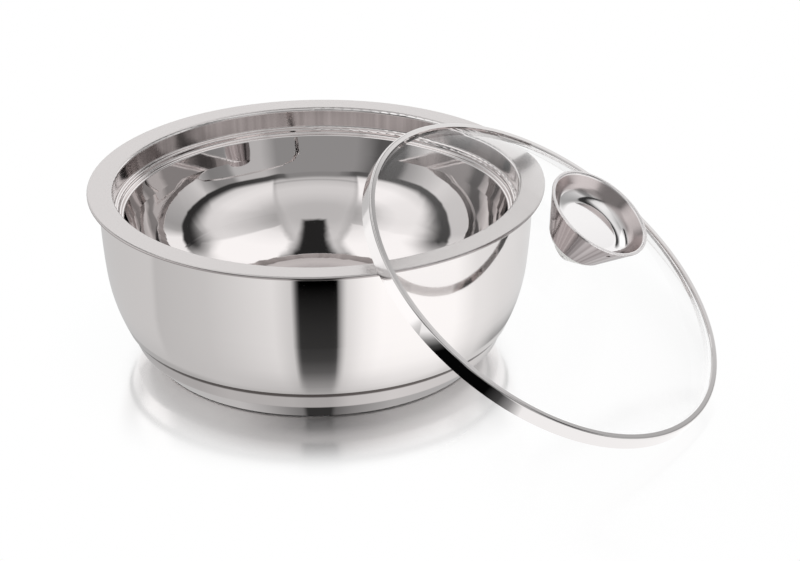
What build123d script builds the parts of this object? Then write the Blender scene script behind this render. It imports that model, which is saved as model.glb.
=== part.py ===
from build123d import *
import math
import os

# Round insulated serving bowl in stainless steel, with its domed glass lid lifted off.
# The lid stands on the table and leans on the bowl's flange, facing up and outwards.
# Millimetres, +Z up, origin on the table under the middle of the bowl.

# Lid: glass and rim band
lid_diameter = 192.4
band_sheet = 0.6
band_height = 7.0
band_lip = 2.8
band_bend = 1.0
glass_fit = 0.1
glass_height = 30.5
glass_thickness = 3.8
glass_edge = 3.6
glass_land = 2.6
glass_arris = 0.6
glass_hole = 9.0

# Lid: knob
knob_mouth_diameter = 51.4
knob_flare = 11.2
knob_height = 20.8
knob_sheet = 0.7
knob_bend = 1.6
dish_sheet = 0.6
dish_rim = 1.5
dish_rim_bend = 0.9
dish_depth = 9.0
dish_slope = 5.2
dish_bend = 9.0
vent_diameter = 1.8
vent_angle = -45.0
vent_height_share = 0.82

# Lid: fixing of the knob
screw_diameter = 5.0
screw_fit = 0.05
screw_grip = 7.0
head_diameter = 9.5
head_height = 3.2
head_round = 1.2
slot_width = 1.2
slot_depth = 1.4
boss_diameter = 11.0
boss_height = 8.0
washer_diameter = 16.0
washer_thickness = 1.0
seal_thickness = 1.0
upper_seal_inset = 1.5
lower_seal_diameter = 18.0
seal_fit = 0.05

# Bowl: liner
flange_width = 12.9
bowl_height = 85.4
liner_sheet = 0.6
hem_return = 3.2
hem_bend_share = 0.47
lid_clearance = 0.9
lid_sink = 3.2
recess_flare = 0.5
recess_bend = 1.6
seat_width = 2.0
seat_step_width = 2.4
seat_step_depth = 2.6
seat_bend_share = 0.42
liner_depth = 59.2
liner_draft = 7.1
liner_wall_share = 0.532
liner_slope_share = 0.72
liner_knee_share = 0.92
liner_floor_share = 1.63

# Bowl: outer shell
shell_sheet = 0.6
seam_fit = 0.05
lip_end_gap = 0.5
shell_bend = 1.4
flange_overhang = 5.7
belly_inset = 2.2
belly_height = 46.0
skirt_inset = 6.4
skirt_height = 22.6
groove_height = 18.5

# Bowl: base cup and foam
base_sheet = 0.6
base_tuck = 3.2
crease_height = 8.9
crease_bend = 2.0
foot_inset = 15.7
foot_bend = 2.5
foot_ring_width = 8.0
foot_recess = 2.0
foot_slope = 2.0
recess_corner = 1.0
foam_fit = 0.3
foam_top_share = 0.35

# Lean of the lid: how far up from its middle the flange meets it, as a share of its radius,
# its compass direction from the bowl in degrees, and the gap at the flange
lean_share = 0.5484
lid_heading = -28.95
lean_gap = 0.3

overrun = 5.0

lid_radius = lid_diameter / 2
screw_radius = screw_diameter / 2
hem_height = 2 * liner_sheet + shell_sheet + 2 * seam_fit
hem_bend = hem_bend_share * hem_height
recess_radius = lid_radius + lid_clearance
recess_depth = band_height + lid_sink
flange_radius = recess_radius + flange_width
wall_radius = flange_radius - flange_overhang
belly_radius = wall_radius - belly_inset
skirt_radius = belly_radius - skirt_inset
foot_radius = skirt_radius - foot_inset
shell_top = bowl_height - liner_sheet - seam_fit - shell_sheet - shell_bend
glass_radius = lid_radius - band_sheet - glass_fit
glass_top = band_height - band_sheet - glass_fit
dome_radius = glass_radius - glass_land
dome_rise = glass_height - glass_top
sphere_radius = (dome_radius**2 + dome_rise**2) / (2 * dome_rise)
sphere_centre = glass_height - sphere_radius
inner_radius = sphere_radius - glass_thickness
mouth_radius = knob_mouth_diameter / 2
knob_foot_radius = mouth_radius - knob_flare
knob_base = glass_height + seal_thickness
knob_top = knob_base + knob_height
washer_top = glass_height - glass_thickness - seal_thickness


def turned(outline):
    """Solid of revolution of a closed outline drawn as radius and height."""
    return revolve(Plane.XZ * make_face(outline), Axis.Z)


def beside(corners, bends, distance):
    """Rounded line at a distance to the left of a row of corners, or to the right if negative."""
    points = [Vector(*corner) for corner in corners]
    runs = [(after - before).normalized() for before, after in zip(points, points[1:])]
    sides = [Vector(-run.Y, run.X) for run in runs]
    shifted = [points[0] + sides[0] * distance]
    radii = []
    for point, before, after, bend in zip(points[1:-1], sides, sides[1:], bends):
        shifted.append(point + (before + after) * (distance / (1 + before.dot(after))))
        turn = math.copysign(1, before.cross(after).Z)
        radii.append(max(bend - turn * distance, 0))
    shifted.append(points[-1] + sides[-1] * distance)
    return FilletPolyline(*shifted, radius=radii)


def between(first, second):
    """Closed outline between two lines that run side by side."""
    return first + second + Line(first @ 0, second @ 0) + Line(first @ 1, second @ 1)


def sheet_ring(corners, bends, thickness):
    """Sheet metal turned about the axis: the corners follow one face, the other lies beside it."""
    return turned(between(beside(corners, bends, 0), beside(corners, bends, thickness)))


def liner_bowl(wall_top):
    """Corners and bends of the recess, seat steps and bowl, from a height on the recess wall."""
    seat_level = bowl_height - recess_depth
    step_level = seat_level - seat_step_depth
    floor_level = bowl_height - liner_depth
    top_radius = recess_radius + recess_flare * (wall_top - seat_level) / recess_depth
    seat_radius = recess_radius - seat_width
    inside_radius = seat_radius - seat_step_width
    knee_radius = inside_radius - liner_draft
    bowl_drop = step_level - floor_level
    corners = [
        (top_radius, wall_top),
        (recess_radius, seat_level),
        (seat_radius, seat_level),
        (seat_radius, step_level),
        (inside_radius, step_level),
        (knee_radius, step_level - liner_wall_share * bowl_drop),
        (knee_radius - liner_slope_share * bowl_drop, floor_level),
        (0, floor_level),
    ]
    seat_bend = seat_bend_share * seat_width
    mouth_bend = seat_bend_share * seat_step_width
    floor_bends = [liner_knee_share * bowl_drop, liner_floor_share * bowl_drop]
    return corners, [seat_bend, seat_bend, mouth_bend, mouth_bend] + floor_bends


def inner_liner():
    """Flange with a rolled hem, lid recess, two-step seat and deep bowl, pressed from one sheet."""
    hem_level = bowl_height - hem_height
    hem = [(flange_radius - hem_return, hem_level), (flange_radius, hem_level), (flange_radius, bowl_height)]
    corners, bends = liner_bowl(bowl_height)
    return sheet_ring(hem + corners, [hem_bend, hem_bend, recess_bend] + bends, liner_sheet)


def shell_wall(inset):
    """Wall line at an inset from its outer face: two tangent arcs from upright to the skirt."""
    upper = TangentArc((wall_radius, shell_top), (belly_radius, belly_height), tangent=(0, -1))
    lower = TangentArc(upper @ 1, (skirt_radius, skirt_height), tangent=upper % 1)
    runs = [upper % 0, upper % 1, lower % 1]
    ends = [upper @ 0, upper @ 1, lower @ 1]
    first, second, third = [end + Vector(run.Y, -run.X) * inset for end, run in zip(ends, runs)]
    return TangentArc(first, second, tangent=runs[0]), TangentArc(second, third, tangent=runs[1])


def skirt_point(height, inset):
    """Point at an inset from the skirt's straight outer line, square to a height on that line."""
    lower = shell_wall(inset)[1]
    run = lower % 1
    return lower @ 1 + run * ((height - skirt_height) / run.Y)


def shell_line(inset):
    """Section line of the shell at an inset from its outer face: lip, bend, wall and skirt."""
    upper, lower = shell_wall(inset)
    lip_level = shell_top + shell_bend + inset
    lip = Line((flange_radius - liner_sheet - lip_end_gap, lip_level), (wall_radius + shell_bend, lip_level))
    bend = TangentArc(lip @ 1, upper @ 0, tangent=lip % 1)
    skirt = Line(lower @ 1, skirt_point(groove_height, inset))
    return Wire((lip + bend + upper + lower + skirt).edges())


def outer_shell():
    """Drawn outer wall: lip held in the liner's hem, gently barrelled side, tapering skirt."""
    return turned(between(shell_line(0), shell_line(shell_sheet)))


def base_corners():
    """Corners and bends of the base cup's outer face, from the rim in the skirt to the middle."""
    inset = shell_sheet + seam_fit
    rim = skirt_point(groove_height + base_tuck, inset)
    crease = skirt_point(crease_height, inset)
    ring_radius = foot_radius - foot_ring_width
    corners = [
        (rim.X, rim.Y),
        (crease.X, crease.Y),
        (foot_radius, 0),
        (ring_radius, 0),
        (ring_radius - foot_slope, foot_recess),
        (0, foot_recess),
    ]
    return corners, [crease_bend, foot_bend, recess_corner, recess_corner]


def base_cup():
    """Pressed base tucked into the skirt, with a crease, a foot ring and a recessed underside."""
    corners, bends = base_corners()
    return sheet_ring(corners, bends, -base_sheet)


def insulation_foam():
    """Foam that fills the space between liner, shell and base."""
    upper, lower = shell_wall(shell_sheet + foam_fit)
    base = beside(*base_corners(), -base_sheet - foam_fit)
    bowl = beside(*liner_bowl(bowl_height - foam_top_share * recess_depth), liner_sheet + foam_fit)
    caps = Line(lower @ 1, base @ 0) + Line(base @ 1, bowl @ 1) + Line(bowl @ 0, upper @ 0)
    return turned(upper + lower + base + bowl + caps)


def lid_glass():
    """Domed glass with a flat ground land under the band's lip and a hole for the screw."""
    land_bottom = glass_top - glass_edge
    inner_edge = math.sqrt(inner_radius**2 - (land_bottom - sphere_centre) ** 2)
    edge_corners = [
        (inner_edge, land_bottom),
        (glass_radius, land_bottom),
        (glass_radius, glass_top),
        (dome_radius, glass_top),
    ]
    edge_line = FilletPolyline(*edge_corners, radius=glass_arris)
    outside = RadiusArc((dome_radius, glass_top), (0, glass_height), -sphere_radius)
    middle = Line((0, glass_height), (0, glass_height - glass_thickness))
    inside = RadiusArc((0, glass_height - glass_thickness), (inner_edge, land_bottom), inner_radius)
    dome = turned(edge_line + outside + middle + inside)
    hole = Pos(0, 0, glass_height) * Cylinder(glass_hole / 2, 2 * glass_height)
    return dome - hole


def lid_rim_band():
    """Band round the glass with a lip turned in over its edge."""
    lip_radius = lid_radius - band_lip
    corners = [(lid_radius, 0), (lid_radius, band_height), (lip_radius, band_height)]
    return sheet_ring(corners, [band_bend], band_sheet)


def knob_body():
    """Hollow cone that flares upwards from a flat foot, with a small vent hole in its side."""
    body_top = knob_top - dish_sheet - seam_fit
    hole_radius = screw_radius + screw_fit
    slope = knob_flare / (body_top - knob_base)
    above = (mouth_radius + slope * knob_sheet, body_top + knob_sheet)
    corners = [(hole_radius, knob_base), (knob_foot_radius, knob_base), above]
    cone = sheet_ring(corners, [knob_bend], knob_sheet)
    cone = split(cone, bisect_by=Plane.XY.offset(body_top), keep=Keep.BOTTOM)
    vent_level = knob_base + vent_height_share * knob_height
    vent = Pos(mouth_radius, 0, vent_level) * Rot(0, 90, 0) * Cylinder(vent_diameter / 2, mouth_radius)
    return cone - Rot(0, 0, vent_angle) * vent


def knob_dish():
    """Dished cap whose rim lies on the mouth of the cone."""
    rim_radius = mouth_radius - dish_rim
    floor_level = knob_top - dish_depth
    corners = [
        (mouth_radius, knob_top),
        (rim_radius, knob_top),
        (rim_radius - dish_slope, floor_level),
        (0, floor_level),
    ]
    return sheet_ring(corners, [dish_rim_bend, dish_bend], dish_sheet)


def knob_boss():
    """Tapped boss that stands on the floor of the cone."""
    level = knob_base + knob_sheet
    return ring(level, level + boss_height, screw_radius + screw_fit, boss_diameter / 2)


def knob_screw():
    """Pan head screw with a slot, from under the washer up into the boss."""
    head_bottom = washer_top - washer_thickness - head_height
    shank_top = knob_base + knob_sheet + screw_grip
    corners = [
        (0, head_bottom),
        (head_diameter / 2, head_bottom),
        (head_diameter / 2, head_bottom + head_height),
        (screw_radius, head_bottom + head_height),
        (screw_radius, shank_top),
        (0, shank_top),
    ]
    screw = turned(Polyline(*corners, close=True))
    rim = screw.edges().filter_by(GeomType.CIRCLE).sort_by(Axis.Z)[0]
    screw = fillet(rim, head_round)
    slot = Pos(0, 0, head_bottom) * Box(head_diameter + overrun, slot_width, 2 * slot_depth)
    return screw - slot


def screw_washer():
    """Flat washer under the lower seal."""
    level = washer_top - washer_thickness
    return ring(level, washer_top, screw_radius + screw_fit, washer_diameter / 2)


def ring(bottom, top, inside, outside):
    """Plain ring between two heights and two radii."""
    return turned(Polyline((inside, bottom), (outside, bottom), (outside, top), (inside, top), close=True))


def upper_seal():
    """Silicone ring between the knob and the glass, shaped to the dome."""
    ball = Pos(0, 0, sphere_centre) * Sphere(sphere_radius + seal_fit)
    return ring(glass_top, knob_base, glass_hole / 2, knob_foot_radius - upper_seal_inset) - ball


def lower_seal():
    """Silicone ring under the glass with a sleeve that lines the hole."""
    ball = Pos(0, 0, sphere_centre) * Sphere(inner_radius - seal_fit)
    inside = screw_radius + screw_fit
    flat = ring(washer_top, glass_height, inside, lower_seal_diameter / 2) & ball
    sleeve = ring(washer_top, glass_height, inside, glass_hole / 2 - seal_fit)
    return flat + sleeve


def lean_plane():
    """Plane of the leaning lid's band: its low edge on the table, its underside on the flange."""
    heading = math.radians(lid_heading)
    round_off = hem_bend * (1 - math.cos(math.pi / 4))
    uphill = lean_share * lid_radius
    tilt = math.asin((bowl_height - round_off + lean_gap) / (lid_radius + uphill))
    level = lid_radius * math.sin(tilt)
    half_chord = math.sqrt((lid_radius - band_sheet) ** 2 - uphill**2)
    chord_reach = math.sqrt((flange_radius - round_off + lean_gap) ** 2 - half_chord**2)
    reach = chord_reach + uphill * math.cos(tilt)
    ahead = Vector(math.cos(heading), math.sin(heading), 0)
    up = Vector(0, 0, 1)
    normal = ahead * math.sin(tilt) + up * math.cos(tilt)
    downhill = ahead * math.cos(tilt) - up * math.sin(tilt)
    return Plane(origin=ahead * reach + up * level, x_dir=downhill, z_dir=normal)


bowl_pieces = (inner_liner, outer_shell, insulation_foam, base_cup)
lid_pieces = (
    lid_glass,
    lid_rim_band,
    knob_body,
    knob_dish,
    knob_boss,
    knob_screw,
    screw_washer,
    upper_seal,
    lower_seal,
)

os.makedirs("parts", exist_ok=True)
for piece in bowl_pieces:
    export_step(piece(), f"parts/{piece.__name__}.step")
for piece in lid_pieces:
    export_step(lean_plane().location * piece(), f"parts/{piece.__name__}.step")
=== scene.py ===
import bpy
import math
from mathutils import Matrix, Vector

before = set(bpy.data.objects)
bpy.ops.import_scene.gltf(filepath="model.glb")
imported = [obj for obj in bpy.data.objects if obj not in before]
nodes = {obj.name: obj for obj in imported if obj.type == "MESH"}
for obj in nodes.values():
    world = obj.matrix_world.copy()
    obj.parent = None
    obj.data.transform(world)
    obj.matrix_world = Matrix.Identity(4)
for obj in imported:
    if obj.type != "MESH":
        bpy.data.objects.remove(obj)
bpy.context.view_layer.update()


# Inner liner: one sheet of stainless steel, pressed into flange, lid recess, seat and bowl.
# Bowl, seat and inner edge are mirror-polished, the inner edge painted lighter as a painted highlight; the
# flange is satin, its grain turned about the axis, and the recess wall keeps upright drawing marks, painted
# dark as painted shade in the recess. Its rolled hem holds the shell's lip, and outside it is painted dark as
# painted shade.
def add(tree, kind, inputs=None, **settings):
    """New shader node: an input given as a socket is wired, any other value is set on it."""
    made = tree.nodes.new("ShaderNode" + kind)
    for key, value in settings.items():
        setattr(made, key, value)
    for key, value in (inputs or {}).items():
        socket = made.inputs[key]
        if isinstance(value, bpy.types.NodeSocket):
            tree.links.new(value, socket)
        else:
            socket.default_value = (*value, 1.0) if socket.type == "RGBA" else value
    return made


def blank_material(name):
    """Empty node material, its tree and its output node."""
    material = bpy.data.materials.new(name)
    material.use_nodes = True
    material.node_tree.nodes.clear()
    return material, material.node_tree, add(material.node_tree, "OutputMaterial")


def dress(name, material):
    """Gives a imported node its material."""
    for slot in nodes[name].material_slots:
        slot.material = material


def own_place(tree):
    """Place on the piece, in the part's own frame."""
    return add(tree, "TexCoord").outputs["Object"]


def reckon(tree, how, *values, **settings):
    """Value reckoned from others; how is Blender's word for it."""
    return add(tree, "Math", dict(enumerate(values)), operation=how, **settings).outputs[0]


def vector(tree, how, *values):
    """Vector reckoned from others; a length or a distance comes out as a value."""
    made = add(tree, "VectorMath", dict(enumerate(values)), operation=how)
    return made.outputs["Value" if how in ("LENGTH", "DISTANCE") else "Vector"]


def grade(tree, value, start, end, low=0.0, high=1.0, smooth=False):
    """Value that goes from low to high while another goes from start to end."""
    inputs = {"Value": value, "From Min": start, "From Max": end, "To Min": low, "To Max": high}
    kind = "SMOOTHSTEP" if smooth else "LINEAR"
    return add(tree, "MapRange", inputs, interpolation_type=kind).outputs["Result"]


def blend(tree, share, first, second, how="MIX"):
    """Colour that goes from the first to the second as the share goes from 0 to 1."""
    inputs = {0: share, 6: first, 7: second}
    return add(tree, "Mix", inputs, data_type="RGBA", blend_type=how).outputs[2]


def blend_value(tree, share, first, second):
    """Value that goes from the first to the second as the share goes from 0 to 1."""
    return add(tree, "Mix", {0: share, 2: first, 3: second}, data_type="FLOAT").outputs[0]


def bare_metal(tree, out, colour, rough, **more):
    """Metal shader of a material."""
    metal = add(tree, "BsdfPrincipled", {"Base Color": colour, "Metallic": 1.0, "Roughness": rough, **more})
    tree.links.new(metal.outputs[0], out.inputs["Surface"])


# Turned grain: fine rings about the Z axis, broken up round the circle, and upright marks.
turned_grain = bpy.data.node_groups.new("turned_grain", "ShaderNodeTree")
turned_grain.interface.new_socket("Place", in_out="INPUT", socket_type="NodeSocketVector")
for label, usual in (("Rings per metre", 2600.0), ("Marks per turn", 300.0)):
    socket = turned_grain.interface.new_socket(label, in_out="INPUT", socket_type="NodeSocketFloat")
    socket.default_value = usual
for label in ("Grain", "Marks"):
    turned_grain.interface.new_socket(label, in_out="OUTPUT", socket_type="NodeSocketFloat")
given = turned_grain.nodes.new("NodeGroupInput").outputs
result = turned_grain.nodes.new("NodeGroupOutput").inputs
height = add(turned_grain, "SeparateXYZ", {"Vector": given["Place"]}).outputs["Z"]
flat = vector(turned_grain, "MULTIPLY", given["Place"], (1.0, 1.0, 0.0))
facing = vector(turned_grain, "NORMALIZE", flat)
along = reckon(turned_grain, "ADD", vector(turned_grain, "LENGTH", flat), height)
rings = reckon(turned_grain, "MULTIPLY", along, given["Rings per metre"])
lift = add(turned_grain, "CombineXYZ", {"Z": rings}).outputs[0]
spot = vector(turned_grain, "ADD", facing, lift)
fine = add(turned_grain, "TexNoise", {"Vector": spot, "Scale": 1.0, "Detail": 3.0, "Roughness": 0.6})
per_radian = reckon(turned_grain, "DIVIDE", given["Marks per turn"], 2 * math.pi)
spread = add(turned_grain, "VectorMath", {0: facing, "Scale": per_radian}, operation="SCALE").outputs[0]
upright = add(turned_grain, "TexNoise", {"Vector": spread, "Scale": 1.0, "Detail": 2.0})
turned_grain.links.new(fine.outputs["Fac"], result["Grain"])
turned_grain.links.new(upright.outputs["Fac"], result["Marks"])

bowl_height = max(point.co.z for point in nodes["inner_liner"].data.vertices)
flange_reach = max(point.co.xy.length for point in nodes["inner_liner"].data.vertices)
wall_foot = (bowl_height - 0.0098, bowl_height - 0.0090)
edge_foot = (bowl_height - 0.0018, bowl_height - 0.0014)
flange_top = (bowl_height - 0.0006, bowl_height - 0.00044)
hem_inside = (flange_reach - 0.0065, flange_reach - 0.0055)
bowl_mirror = (0.875, 0.835, 0.828)
# Painted highlight on the inner edge, and painted shade outside the hem and on the recess wall.
edge_highlight = (0.98, 0.95, 0.945)
hem_shade = (0.46, 0.425, 0.42)
dark_marks_and_shade = (0.345, 0.31, 0.305)
light_marks_and_shade = (0.71, 0.66, 0.65)
dark_grain = (0.665, 0.635, 0.628)
light_grain = (0.715, 0.685, 0.678)
bowl_rough = 0.03
wall_rough = 0.10
flange_rough = (0.22, 0.29)

liner_steel, tree, out = blank_material("liner_steel")
place = own_place(tree)
height = add(tree, "SeparateXYZ", {"Vector": place}).outputs["Z"]
radius = vector(tree, "LENGTH", vector(tree, "MULTIPLY", place, (1.0, 1.0, 0.0)))
grain = add(tree, "Group", {"Place": place, "Marks per turn": 200.0}, node_tree=turned_grain).outputs
above_seat = grade(tree, height, *wall_foot)
edge = grade(tree, height, *edge_foot)
below_edge = grade(tree, height, *edge_foot, low=1.0, high=0.0)
within_hem = grade(tree, radius, *hem_inside, low=1.0, high=0.0)
satin = grade(tree, height, *flange_top)
recess_shade_mask = reckon(tree, "MULTIPLY", above_seat, below_edge)
recess_shade_mask = reckon(tree, "MULTIPLY", recess_shade_mask, within_hem)
# The recess wall's drawing marks are painted dark as painted shade in the recess.
marks_and_recess_shade = blend(tree, grain["Marks"], dark_marks_and_shade, light_marks_and_shade)
brushed = blend(tree, grain["Grain"], dark_grain, light_grain)
# Painted highlight on the inner edge and painted shade on the outside of the hem.
rounded = blend(tree, within_hem, hem_shade, edge_highlight)
colour = blend(tree, edge, bowl_mirror, rounded)
colour = blend(tree, recess_shade_mask, colour, marks_and_recess_shade)
colour = blend(tree, satin, colour, brushed)
satin_rough = grade(tree, grain["Grain"], 0.0, 1.0, *flange_rough)
rough = blend_value(tree, above_seat, bowl_rough, wall_rough)
rough = blend_value(tree, satin, rough, satin_rough)
wave = add(tree, "TexNoise", {"Vector": place, "Scale": 22.0, "Detail": 1.0})
ripple = add(tree, "Bump", {"Height": wave.outputs["Fac"], "Strength": 0.012, "Distance": 0.002})
bare_metal(tree, out, colour, rough, Normal=ripple.outputs[0])
dress("inner_liner", liner_steel)

# Outer shell: drawn stainless steel wall with a mirror polish, its lip folded into the liner's hem.
# Faint rings of the polishing wheel stay in it.
shell_colour = (0.87, 0.835, 0.825)
shell_rough = (0.03, 0.07)
shell_steel, tree, out = blank_material("shell_steel")
grain = add(tree, "Group", {"Place": own_place(tree)}, node_tree=turned_grain).outputs
bare_metal(tree, out, shell_colour, grade(tree, grain["Grain"], 0.0, 1.0, *shell_rough))
dress("outer_shell", shell_steel)

# Base cup: polished stainless steel pressing, pushed into the shell's skirt, with a foot ring.
# The foot is dulled where it stands on the table, and the groove under the skirt is painted dark as painted
# shade.
base_colour = (0.85, 0.805, 0.795)
groove_shade = (0.16, 0.14, 0.135)
groove_shade_foot = (0.0156, 0.0164)
worn_height = 0.003
worn_rough = 0.22
base_rough = 0.05
base_steel, tree, out = blank_material("base_steel")
place = own_place(tree)
height = add(tree, "SeparateXYZ", {"Vector": place}).outputs["Z"]
grain = add(tree, "Group", {"Place": place}, node_tree=turned_grain).outputs
worn = grade(tree, height, 0.0, worn_height, worn_rough, base_rough)
# Painted shade: the base is painted dark from the groove under the skirt upwards.
colour = blend(tree, grade(tree, height, *groove_shade_foot), base_colour, groove_shade)
bare_metal(tree, out, colour, reckon(tree, "MULTIPLY", worn, grain["Grain"]))
dress("base_cup", base_steel)

# Insulation foam: pale foam poured between liner and shell, hidden by them.
# Its cells show as a fine mottle.
foam_shade = (0.66, 0.56, 0.34)
foam_light = (0.74, 0.66, 0.44)
foam, tree, out = blank_material("foam")
cells = add(tree, "TexNoise", {"Vector": own_place(tree), "Scale": 900.0})
tint = blend(tree, cells.outputs["Fac"], foam_shade, foam_light)
body = add(tree, "BsdfPrincipled", {"Base Color": tint, "Roughness": 0.9})
tree.links.new(body.outputs[0], out.inputs["Surface"])
dress("insulation_foam", foam)

# Lid glass: domed clear tempered glass with a ground edge, held by the rim band.
# Light goes through it to the table, so it throws hardly any shadow, and steel mirrors it as clear.
clear_glass, tree, out = blank_material("clear_glass")
film = add(tree, "TexNoise", {"Vector": own_place(tree), "Scale": 30.0})
glass_look = {
    "Base Color": (1.0, 1.0, 1.0),
    "Roughness": grade(tree, film.outputs["Fac"], 0.0, 1.0, 0.0, 0.01),
    "IOR": 1.15,
    "Transmission Weight": 1.0,
}
glass = add(tree, "BsdfPrincipled", glass_look)
through = add(tree, "BsdfTransparent", {"Color": (0.97, 0.97, 0.97)})
path = add(tree, "LightPath").outputs
soft = reckon(tree, "MAXIMUM", path["Is Shadow Ray"], path["Is Diffuse Ray"])
mirrored = reckon(tree, "SUBTRACT", path["Is Glossy Ray"], path["Is Transmission Ray"])
soft = reckon(tree, "MAXIMUM", soft, mirrored, use_clamp=True)
both = add(tree, "MixShader", {0: soft, 1: glass.outputs[0], 2: through.outputs[0]})
tree.links.new(both.outputs[0], out.inputs["Surface"])
dress("lid_glass", clear_glass)

# Rim band: thin stainless strip rolled round the edge of the glass, mirror-polished.
# Its polishing rings run about the lid's own leaning axis.
lid_centre = (0.104184, -0.057631, 0.055178)
lid_turn = (0.0, math.radians(35.0), math.radians(-28.95))


def lid_place(tree):
    """Place on the lid, with Z along its leaning axis."""
    inputs = {"Vector": own_place(tree), "Location": lid_centre, "Rotation": lid_turn}
    return add(tree, "Mapping", inputs, vector_type="TEXTURE").outputs[0]


band_colour = (0.77, 0.745, 0.74)
band_rough = (0.03, 0.08)
band_steel, tree, out = blank_material("band_steel")
grain = add(tree, "Group", {"Place": lid_place(tree)}, node_tree=turned_grain).outputs
bare_metal(tree, out, band_colour, grade(tree, grain["Grain"], 0.0, 1.0, *band_rough))
dress("lid_rim_band", band_steel)

# Knob body: hollow stainless cone with a soft satin polish, screwed to the glass from below.
# The satin is a little cloudy, and upright streaks of the pressing stay in it.
dark_streak = (0.24, 0.20, 0.20)
light_streak = (0.56, 0.51, 0.51)
streak_contrast = (0.32, 0.68)
knob_rough = (0.10, 0.18)
knob_steel, tree, out = blank_material("knob_steel")
grain = add(tree, "Group", {"Place": lid_place(tree), "Marks per turn": 70.0}, node_tree=turned_grain).outputs
streak = grade(tree, grain["Marks"], *streak_contrast)
colour = blend(tree, streak, dark_streak, light_streak)
bare_metal(tree, out, colour, grade(tree, grain["Grain"], 0.0, 1.0, *knob_rough))
dress("knob_body", knob_steel)

# Knob dish: dished stainless cap, its edge rolled over the mouth of the cone.
# Its floor and edge are turned bright and painted much lighter than the wall as a painted highlight; its wall
# is satin like the cone.
dish_floor_highlight = (0.97, 0.95, 0.95)
wall_colour = (0.56, 0.505, 0.50)
dish_edge_highlight = (0.90, 0.87, 0.87)
dish_wall_foot = (0.0445, 0.0462)
dish_edge_foot = (0.0514, 0.0518)
floor_rough = 0.06
dish_rough = (0.16, 0.26)
dish_steel, tree, out = blank_material("dish_steel")
place = lid_place(tree)
height = add(tree, "SeparateXYZ", {"Vector": place}).outputs["Z"]
grain = add(tree, "Group", {"Place": place}, node_tree=turned_grain).outputs
wall = grade(tree, height, *dish_wall_foot, smooth=True)
# Painted highlight: the dish floor and rolled edge are painted far lighter than the wall.
colour = blend(tree, wall, dish_floor_highlight, wall_colour)
colour = blend(tree, grade(tree, height, *dish_edge_foot), colour, dish_edge_highlight)
satin = grade(tree, grain["Grain"], 0.0, 1.0, *dish_rough)
bare_metal(tree, out, colour, blend_value(tree, wall, floor_rough, satin))
dress("knob_dish", dish_steel)

# Boss, screw and washer: plain machined stainless steel that clamps the knob to the glass.
# Fine tool marks run round them.
screw_colour = (0.72, 0.71, 0.70)
screw_rough = (0.18, 0.36)
screw_steel, tree, out = blank_material("screw_steel")
inputs = {"Place": lid_place(tree), "Rings per metre": 5200.0}
grain = add(tree, "Group", inputs, node_tree=turned_grain).outputs
bare_metal(tree, out, screw_colour, grade(tree, grain["Grain"], 0.0, 1.0, *screw_rough))
for name in ("knob_boss", "knob_screw", "screw_washer"):
    dress(name, screw_steel)

# Seals: pale translucent silicone rings above and below the glass.
# Their skin is slightly cloudy.
silicone_colour = (0.82, 0.82, 0.80)
silicone_rough = (0.45, 0.6)
silicone, tree, out = blank_material("silicone")
cloud = add(tree, "TexNoise", {"Vector": own_place(tree), "Scale": 500.0})
rough = grade(tree, cloud.outputs["Fac"], 0.0, 1.0, *silicone_rough)
rubber = add(tree, "BsdfPrincipled", {"Base Color": silicone_colour, "Roughness": rough})
tree.links.new(rubber.outputs[0], out.inputs["Surface"])
for name in ("upper_seal", "lower_seal"):
    dress(name, silicone)


# Table: white glossy board that mirrors the bowl softly close to it, in a white tent.
# It runs on past the picture on all sides. Near the bowl it keeps the bowl's shade,
# and just before the foot it is painted darker as painted shade.
def mesh_object(name, points, faces):
    """Object made of a plain mesh."""
    mesh = bpy.data.meshes.new(name)
    mesh.from_pydata(points, [], faces)
    made = bpy.data.objects.new(name, mesh)
    bpy.context.scene.collection.objects.link(made)
    return made


table_half = 4.0
table_level = -0.0002
foot_reach = 0.080
gloss_reach = 0.142
bowl_gloss = 0.62
lid_foot = (0.190, -0.125, 0.0)
lid_gloss_range = (0.03, 0.13)
lid_gloss = 0.12
shade_stretch = (1.14, 1.0, 1.0)
shade_shift = (0.0, 0.025, 0.0)
shade_reach = 0.112
foot_front = (0.0, -0.078, 0.0)
deep_shade_range = (0.022, 0.062)
deep_shade = (0.62, 0.61, 0.61)
table_colour = (1.0, 1.0, 1.0)
table_rough = 0.14

corners = [(-1, -1), (1, -1), (1, 1), (-1, 1)]
points = [(table_half * x, table_half * y, table_level) for x, y in corners]
floor = mesh_object("table", points, [(0, 1, 2, 3)])
white, tree, out = blank_material("table_white")
place = own_place(tree)
from_lid = vector(tree, "DISTANCE", place, lid_foot)
from_front = vector(tree, "DISTANCE", place, foot_front)
by_bowl = grade(tree, vector(tree, "LENGTH", place), foot_reach, gloss_reach, bowl_gloss, 0.0, smooth=True)
by_lid = grade(tree, from_lid, *lid_gloss_range, lid_gloss, 0.0, smooth=True)
drawn = vector(tree, "MULTIPLY_ADD", place, shade_stretch, shade_shift)
bright = grade(tree, vector(tree, "LENGTH", drawn), foot_reach, shade_reach, smooth=True)
path = add(tree, "LightPath").outputs
seen = reckon(tree, "MAXIMUM", path["Is Camera Ray"], path["Is Glossy Ray"])
seen = reckon(tree, "MAXIMUM", seen, path["Is Transmission Ray"])
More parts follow.
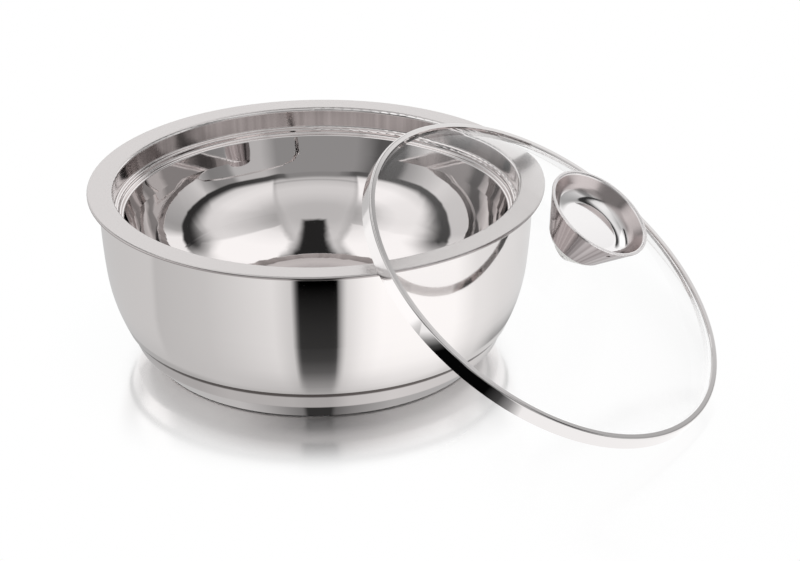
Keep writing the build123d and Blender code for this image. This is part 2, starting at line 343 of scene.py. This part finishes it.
# Painted shade: the board's colour turns grey just before the foot.
front_painted_shade = blend(tree, grade(tree, from_front, *deep_shade_range, smooth=True), deep_shade, table_colour)
matt = add(tree, "BsdfDiffuse", {"Color": front_painted_shade})
glow = add(tree, "Emission", {"Color": table_colour})
clean = reckon(tree, "MULTIPLY", bright, seen)
board = add(tree, "MixShader", {0: clean, 1: matt.outputs[0], 2: glow.outputs[0]})
shine = add(tree, "BsdfGlossy", {"Color": table_colour, "Roughness": table_rough})
gloss = reckon(tree, "MAXIMUM", by_bowl, by_lid)
both = add(tree, "MixShader", {0: gloss, 1: board.outputs[0], 2: shine.outputs[0]})
tree.links.new(both.outputs[0], out.inputs["Surface"])
white.cycles.emission_sampling = "NONE"
floor.data.materials.append(white)

world = bpy.data.worlds.new("tent")
bpy.context.scene.world = world
world.use_nodes = True
sky = world.node_tree.nodes["Background"]
sky.inputs["Color"].default_value = (1.0, 1.0, 1.0, 1.0)
sky.inputs["Strength"].default_value = 1.0


# Table paper: graded sheet round the bowl that only the steel mirrors, not seen by the camera.
# It is dark in the gap before the camera, grey on the left and bright on the right, and its rounds nearest
# the bowl are painted darker as painted shade of the bowl on the table.
def flag(name, points, faces, paint):
    """Card with one painted side and a clear back, which throws no light or shadow on the table."""
    card = mesh_object(name, points, faces)
    cloth, tree, out = blank_material(name)
    light = add(tree, "Emission", {"Color": paint(tree)})
    clear = add(tree, "BsdfTransparent")
    back = add(tree, "NewGeometry").outputs["Backfacing"]
    both = add(tree, "MixShader", {0: back, 1: light.outputs[0], 2: clear.outputs[0]})
    tree.links.new(both.outputs[0], out.inputs["Surface"])
    cloth.cycles.emission_sampling = "NONE"
    card.data.materials.append(cloth)
    card.visible_camera = False
    card.visible_diffuse = False
    card.visible_transmission = False
    card.visible_volume_scatter = False
    card.visible_shadow = False


def ramp(tree, value, stops):
    """Grey ramp over a value from 0 to 1."""
    made = add(tree, "ValToRGB", {"Fac": value})
    marks = made.color_ramp.elements
    while len(marks) < len(stops):
        marks.new(0.5)
    for mark, (at, shade) in zip(marks, stops):
        mark.position = at
        mark.color = (shade, shade, shade, 1.0)
    return made.outputs["Color"]


def compass_ramp(tree, compass, stops):
    """Grey ramp round the compass, its stops in degrees from the front, positive to the right."""
    return ramp(tree, compass, [((degrees + 180.0) / 360.0, shade) for degrees, shade in stops])


fan_centre = (0.0, -0.052, 0.0)
sheet_start = 0.10
sheet_end = 0.26
outer_range = (0.29, 0.36)
skirt_range = (0.1005, 0.0985)
foot_range = (0.0915, 0.0860)


def sheen(tree):
    """Paints the sheet: greys round the compass, in rounds from the foot outwards."""
    place = own_place(tree)
    reach = vector(tree, "LENGTH", place)
    fan = add(tree, "SeparateXYZ", {"Vector": vector(tree, "SUBTRACT", place, fan_centre)}).outputs
    turn = reckon(tree, "ARCTAN2", fan["X"], reckon(tree, "MULTIPLY", fan["Y"], -1.0))
    compass = grade(tree, turn, -math.pi, math.pi)
    # Painted shade: the rounds by the foot and the skirt are darker, standing in for the bowl's shade on the
    # table.
    foot_round_shade = compass_ramp(tree, compass, [
        (-180, 0.42), (-60, 0.55), (-45, 0.44), (-27, 0.28), (-15, 0.20), (-11, 0.035),
        (10, 0.035), (14, 0.14), (27, 0.24), (57, 0.44), (180, 0.44),
    ])
    skirt_round_shade = compass_ramp(tree, compass, [
        (-180, 0.46), (-77, 0.45), (-60, 0.52), (-20, 0.50), (-8, 0.45),
        (8, 0.45), (22, 0.60), (49, 0.72), (72, 0.70), (180, 0.58),
    ])
    near = compass_ramp(tree, compass, [
        (-180, 0.52), (-74, 0.58), (-57, 0.61), (-20, 0.58), (-13, 0.52), (-8, 0.38),
        (8, 0.38), (13, 0.60), (21, 0.68), (47, 0.82), (70, 0.84), (92, 0.70), (105, 0.32), (180, 0.32),
    ])
    far = compass_ramp(tree, compass, [
        (-180, 0.57), (-92, 0.66), (-89, 0.56), (-60, 0.63), (-35, 0.78), (-24, 0.84), (-14, 0.68),
        (-11.5, 0.12), (-10, 0.0), (10, 0.0), (11.5, 0.3), (15, 0.80), (25, 1.04), (34, 1.15),
        (75, 1.15), (88, 0.92), (127, 0.80), (180, 0.76),
    ])
    outmost = compass_ramp(tree, compass, [
        (-180, 0.57), (-125, 0.7), (-100, 1.3), (-62, 1.3), (-50, 0.8), (-40, 0.5), (-14, 0.5),
        (-10, 0.0), (10, 0.0), (15, 0.80), (30, 1.1), (75, 1.15), (88, 0.92), (127, 0.80), (180, 0.76),
    ])
    away = ramp(tree, grade(tree, reach, sheet_start, sheet_end), [
        (0.0, 0.0), (0.0625, 0.45), (0.1125, 0.70), (0.2125, 0.85), (0.34, 0.90), (0.54, 0.93), (1.0, 1.0),
    ])
    paper = blend(tree, grade(tree, reach, *outer_range), far, outmost)
    paper = blend(tree, away, near, paper)
    paper = blend(tree, grade(tree, reach, *skirt_range), paper, skirt_round_shade)
    return blend(tree, grade(tree, reach, *foot_range), paper, foot_round_shade)


sides = 96
bearings = [2 * math.pi * side / sides for side in range(sides)]


def ring_faces(rows):
    """Faces between rows of points that run round the bowl's axis."""
    faces = []
    for row in range(rows):
        for side in range(sides):
            here = row * sides + side
            beside = row * sides + (side + 1) % sides
            faces.append((here, here + sides, beside + sides, beside))
    return faces


sheet_level = 0.0005
sheet_rounds = [0.076, 0.12, 0.5, 2.0]
points = [
    (reach * math.sin(bearing), -reach * math.cos(bearing), sheet_level)
    for reach in sheet_rounds for bearing in bearings
]
flag("table_sheen", points, ring_faces(len(sheet_rounds) - 1), sheen)


# Dark slips beside the lid, painted shade that the band mirrors in place of the shade under the lid: they
# face it, so its band mirrors them and the bowl does not see them.
# Each fades out towards one end by a painted grade.
def shade_slip(name, foot_x, top_x, near_y, far_y, low, high, dark_from, pale_at):
    """Upright slip that faces the lid, dark at one height and pale at another."""
    def faded(tree):
        height = add(tree, "SeparateXYZ", {"Vector": own_place(tree)}).outputs["Z"]
        along = grade(tree, height, dark_from, pale_at)
        return ramp(tree, along, [(0.0, 0.002), (0.3, 0.07), (0.6, 0.35), (1.0, 1.1)])

    points = [(foot_x, near_y, low), (foot_x, far_y, low), (top_x, far_y, high), (top_x, near_y, high)]
    flag(name, points, [(3, 2, 1, 0)], faded)


# The slips are painted shade, seen only in the band's reflection.
shade_slip(
    "left_shade_slip", foot_x=0.040, top_x=0.040, near_y=-0.134, far_y=-0.180,
    low=0.025, high=0.072, dark_from=0.056, pale_at=0.067,
)
shade_slip(
    "right_shade_slip", foot_x=0.080, top_x=0.060, near_y=-0.146, far_y=-0.200,
    low=0.000, high=0.050, dark_from=0.036, pale_at=0.000,
)

# Tent: cloth dome over the table that only the steel mirrors. A dark gap runs all round it,
# with the room below the gap, bright cloth above it, a greyer front panel and a slit at the top.
quarter = 90.0
gap_under = (-1.4 / quarter, -3.6 / quarter)
gap_over = 1.8 / quarter
right_turn = (-0.4, 0.4)
back_turn = (2.38, 2.45)
hem_slope = 0.36
hem_middle = 0.24
hem_back = 0.10
hem_back_range = (-0.55, 0.0)
hem_blur = (-0.012, 0.03)
fold_range = (-0.05, -0.012)
fold_shade = 0.84
slit_shift = 0.012
slit_blur = (0.042, 0.085)
slit_front = (-0.16, -0.11)
slit_back = (-0.95, -1.1)
slit_colour = (0.02, 0.02, 0.02)
skyline = (9.0 / quarter, 4.0 / quarter)
skyline_colour = (1.2, 1.2, 1.2)


def tent(tree):
    """Paints the dome by compass and by rise, which goes from 0 at the table to 1 overhead."""
    aim = add(tree, "SeparateXYZ", {"Vector": vector(tree, "NORMALIZE", own_place(tree))}).outputs
    front = reckon(tree, "MULTIPLY", aim["Y"], -1.0)
    turn = reckon(tree, "ARCTAN2", aim["X"], front)
    compass = grade(tree, turn, -math.pi, math.pi)
    rise = reckon(tree, "DIVIDE", reckon(tree, "ARCSINE", aim["Z"]), math.pi / 2)
    across = reckon(tree, "DIVIDE", aim["X"], aim["Z"])
    ahead = reckon(tree, "DIVIDE", front, aim["Z"])

    def upward(stops):
        return ramp(tree, rise, [(degrees / quarter, shade) for degrees, shade in stops])

    def rise_round(stops):
        return compass_ramp(tree, compass, [(at, degrees / quarter) for at, degrees in stops])

    left_cloth = upward([
        (36, 0.80), (42, 0.90), (48, 1.04), (60, 1.04), (65, 0.92),
        (70, 0.66), (76, 0.48), (84, 0.53), (90, 0.54),
    ])
    right_cloth = upward([
        (36, 0.62), (42, 0.74), (48, 0.86), (54, 0.88), (60, 0.81),
        (66, 0.70), (72, 0.55), (76, 0.47), (90, 0.50),
    ])
    back_cloth = upward([
        (30, 1.0), (38, 1.08), (56, 1.08), (62, 1.02), (68, 0.92), (73, 0.75), (80, 0.58), (90, 0.54),
    ])
    dimmer = compass_ramp(tree, compass, [
        (-180, 1.0), (-150, 1.0), (-125, 0.87), (-85, 0.90), (-65, 1.0),
        (85, 1.0), (97, 0.92), (125, 0.86), (150, 1.0), (180, 1.0),
    ])
    cloth = blend(tree, grade(tree, turn, *right_turn), left_cloth, right_cloth)
    cloth = blend(tree, 1.0, cloth, dimmer, how="MULTIPLY")
    behind = grade(tree, reckon(tree, "ABSOLUTE", turn), *back_turn, smooth=True)
    cloth = blend(tree, behind, cloth, back_cloth)

    panel = upward([
        (38, 0.30), (40, 0.44), (44, 0.57), (46, 0.42), (48, 0.60),
        (56, 0.71), (64, 0.69), (72, 0.63), (80, 0.55), (90, 0.53),
    ])
    hem = reckon(tree, "MULTIPLY_ADD", ahead, hem_slope, hem_middle)
    hem = reckon(tree, "MAXIMUM", hem, grade(tree, ahead, *hem_back_range, hem_back, hem_middle))
    over = reckon(tree, "SUBTRACT", reckon(tree, "ABSOLUTE", across), hem)
    panel = blend(tree, 1.0, panel, grade(tree, over, *fold_range, 1.0, fold_shade), how="MULTIPLY")
    above = blend(tree, grade(tree, over, *hem_blur, smooth=True), panel, cloth)

    shifted = reckon(tree, "ABSOLUTE", reckon(tree, "SUBTRACT", across, slit_shift))
    beyond = reckon(tree, "MAXIMUM", grade(tree, ahead, *slit_front), grade(tree, ahead, *slit_back))
    beyond = reckon(tree, "MAXIMUM", grade(tree, shifted, *slit_blur, smooth=True), beyond)
    above = blend(tree, beyond, slit_colour, above)

    room = compass_ramp(tree, compass, [
        (-180, 0.98), (-155, 0.95), (-135, 0.62), (-105, 0.63), (-90, 0.73), (-80, 0.60), (-72, 0.50),
        (-62, 0.33), (-57, 0.10), (-40, 0.10), (-34, 0.20), (-26, 0.295), (24, 0.295), (29, 0.42),
        (34, 0.53), (53, 0.53), (57, 0.27), (70, 0.24), (77, 0.45), (82, 0.66), (90, 0.56),
        (105, 0.44), (120, 0.36), (125, 0.42), (132, 0.95), (180, 0.98),
    ])
    gap_shade = compass_ramp(tree, compass, [
        (-180, 0.95), (-155, 0.95), (-142, 0.06), (-60, 0.09), (-45, 0.11), (-28, 0.10), (-22, 0.19),
        (-15, 0.26), (18, 0.26), (23, 0.12), (30, 0.07), (60, 0.04), (90, 0.03), (140, 0.03),
        (155, 0.95), (180, 0.95),
    ])
    gap_rise = rise_round([
        (-180, 36), (-120, 36), (-105, 33), (-90, 31), (-78, 30), (-64, 31.5), (-45, 33.5), (-30, 34.5),
        (-15, 37.5), (20, 38), (26, 36.5), (36, 37.5), (45, 36.5), (52, 35.2), (62, 33.2), (80, 32.3),
        (105, 32.8), (118, 34), (128, 36.4), (145, 36.8), (180, 36),
    ])
    haze = rise_round([
        (-180, 6), (-156, 9), (-147, 17), (-110, 17), (-97, 13), (-88, 10), (-60, 7),
        (30, 7), (60, 8), (88, 10), (100, 14), (140, 15), (150, 8), (180, 6),
    ])
    off = reckon(tree, "SUBTRACT", rise, gap_rise)
    shade = blend(tree, grade(tree, off, *gap_under, smooth=True), gap_shade, room)
    shade = blend(tree, grade(tree, off, gap_over, haze, smooth=True), shade, above)
    leftmost = compass_ramp(tree, compass, [
        (-180, 0.0), (-150, 0.0), (-130, 1.0), (-85, 1.0), (-65, 0.0), (180, 0.0),
    ])
    low = reckon(tree, "MULTIPLY", grade(tree, rise, *skyline), leftmost)
    return blend(tree, low, shade, skyline_colour)


tent_radius = 4.0
tent_top = math.radians(89.9)
rows = 24
points = []
for row in range(rows + 1):
    rise = tent_top * row / rows
    reach = tent_radius * math.cos(rise)
    for bearing in bearings:
        points.append((reach * math.sin(bearing), -reach * math.cos(bearing), tent_radius * math.sin(rise)))
flag("tent_dome", points, ring_faces(rows), tent)

# Camera: long lens, looking down at the bowl from the front.
# It is turned a little to the right, and rolled by less than half a degree.
camera_place = (0.0, -1.3172, 0.6417)
yaw = math.radians(1.75831)
pitch = math.radians(24.81564)
roll = math.radians(0.405128)
lens = bpy.data.cameras.new("camera")
lens.lens = 133.33
lens.sensor_width = 36.0
camera = bpy.data.objects.new("camera", lens)
bpy.context.scene.collection.objects.link(camera)
ahead = Vector((math.sin(yaw) * math.cos(pitch), math.cos(yaw) * math.cos(pitch), -math.sin(pitch)))
level = Vector((math.cos(yaw), -math.sin(yaw), 0.0))
plumb = ahead.cross(level)
right = math.cos(roll) * level + math.sin(roll) * plumb
down = math.cos(roll) * plumb - math.sin(roll) * level
turned = Matrix((right, -down, -ahead)).transposed().to_4x4()
camera.matrix_world = Matrix.Translation(camera_place) @ turned
bpy.context.scene.camera = camera

bpy.context.scene.view_settings.view_transform = "Standard"
